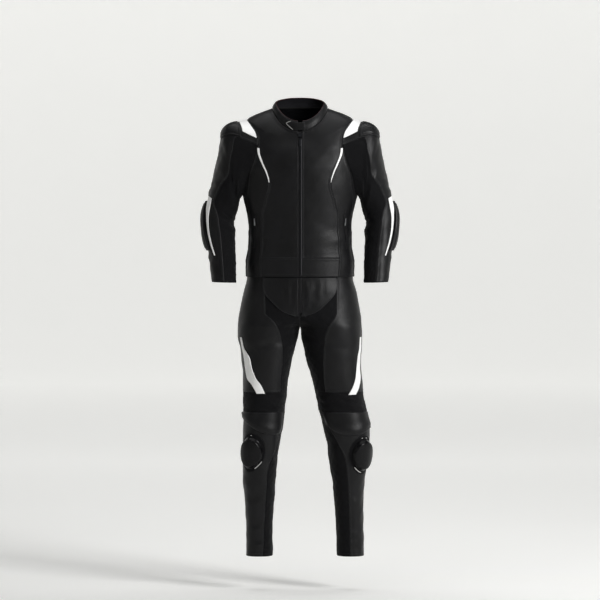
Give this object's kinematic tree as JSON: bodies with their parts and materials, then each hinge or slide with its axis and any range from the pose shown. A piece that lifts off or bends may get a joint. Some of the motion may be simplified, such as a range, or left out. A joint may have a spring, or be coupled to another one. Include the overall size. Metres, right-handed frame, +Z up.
{
  "type": "motorcycle race suit",
  "caption": "Worn two-piece motorcycle race suit: black leather jacket and trousers with white flashes, stretch insets, armoured shoulders and elbows, knee sliders.",
  "frame": {"origin": "on the mid plane at shoulder height, where the wearer's shoulders hold the suit up", "axes": "+Z up, the front faces -Y, +X towards the wearer's left; left and right in names are as seen from the front"},
  "size_m": [0.6362, 0.2492, 1.4616],
  "materials": {
    "leather": "smooth grained cowhide, semi-gloss",
    "white_leather": "smooth grained cowhide, semi-gloss",
    "stretch": "ribbed stretch cloth, matt",
    "zip_tape": "woven tape with moulded teeth",
    "armour": "moulded, finely textured",
    "slider_plastic": "moulded, satin",
    "metal": "die-cast, satin"
  },
  "bodies": {
    "suit": {"jacket_back": "leather", "jacket_front_right": "leather", "jacket_front_left": "leather", "jacket_hem_band_right": "leather", "jacket_hem_band_left": "leather", "jacket_side_front_right": "leather", "jacket_side_front_left": "leather", "jacket_underarm_front_right": "stretch", "jacket_underarm_front_left": "stretch", "jacket_underarm_back_right": "stretch", "jacket_underarm_back_left": "stretch", "collar": "leather", "collar_tab": "leather", "front_zip": "zip_tape", "front_zip_slider": "metal", "chest_strip_right": "white_leather", "chest_strip_left": "white_leather", "pocket_zip_right": "zip_tape", "pocket_zip_left": "zip_tape", "sleeve_outer_right": "leather", "sleeve_outer_left": "leather", "sleeve_inner_right": "stretch", "sleeve_inner_left": "stretch", "shoulder_flash_right": "white_leather", "shoulder_flash_left": "white_leather", "shoulder_cap_right": "armour", "shoulder_cap_left": "armour", "elbow_flash_right": "white_leather", "elbow_flash_left": "white_leather", "elbow_guard_right": "armour", "elbow_guard_left": "armour", "trouser_crotch_right": "stretch", "trouser_crotch_left": "stretch", "trouser_thigh_right": "leather", "trouser_thigh_left": "leather", "trouser_knee_right": "stretch", "trouser_knee_left": "stretch", "trouser_calf_right": "stretch", "trouser_calf_left": "stretch", "trouser_shin_right": "leather", "trouser_shin_left": "leather", "trouser_seat_right": "leather", "trouser_seat_left": "leather", "trouser_back_calf_right": "leather", "trouser_back_calf_left": "leather", "front_pad_right": "leather", "front_pad_left": "leather", "fly": "zip_tape", "thigh_flash_right": "white_leather", "thigh_flash_left": "white_leather", "knee_cup_right": "leather", "knee_cup_left": "leather", "slider_base_right": "stretch", "slider_base_left": "stretch", "knee_slider_right": "slider_plastic", "knee_slider_left": "slider_plastic"},
    "front_pull": {"front_zip_pull": "metal"},
    "right_pocket_pull": {"pocket_pull_right": "metal"},
    "left_pocket_pull": {"pocket_pull_left": "metal"}
  },
  "joints": [
    {"name": "front_pull_hinge", "type": "hinge", "parent": "suit", "child": "front_pull", "pos_m": [0, -0.09395, -0.06319], "axis": [-1, 0, 0], "range_deg": [0, 110]},
    {"name": "right_pocket_pull_hinge", "type": "hinge", "parent": "suit", "child": "right_pocket_pull", "pos_m": [0.14461, -0.07017, -0.31644], "axis": [-0.6855, -0.7281, 0], "range_deg": [0, 100]},
    {"name": "left_pocket_pull_hinge", "type": "hinge", "parent": "suit", "child": "left_pocket_pull", "pos_m": [-0.14461, -0.07017, -0.31644], "axis": [-0.6855, 0.7281, 0], "range_deg": [0, 100]}
  ]
}
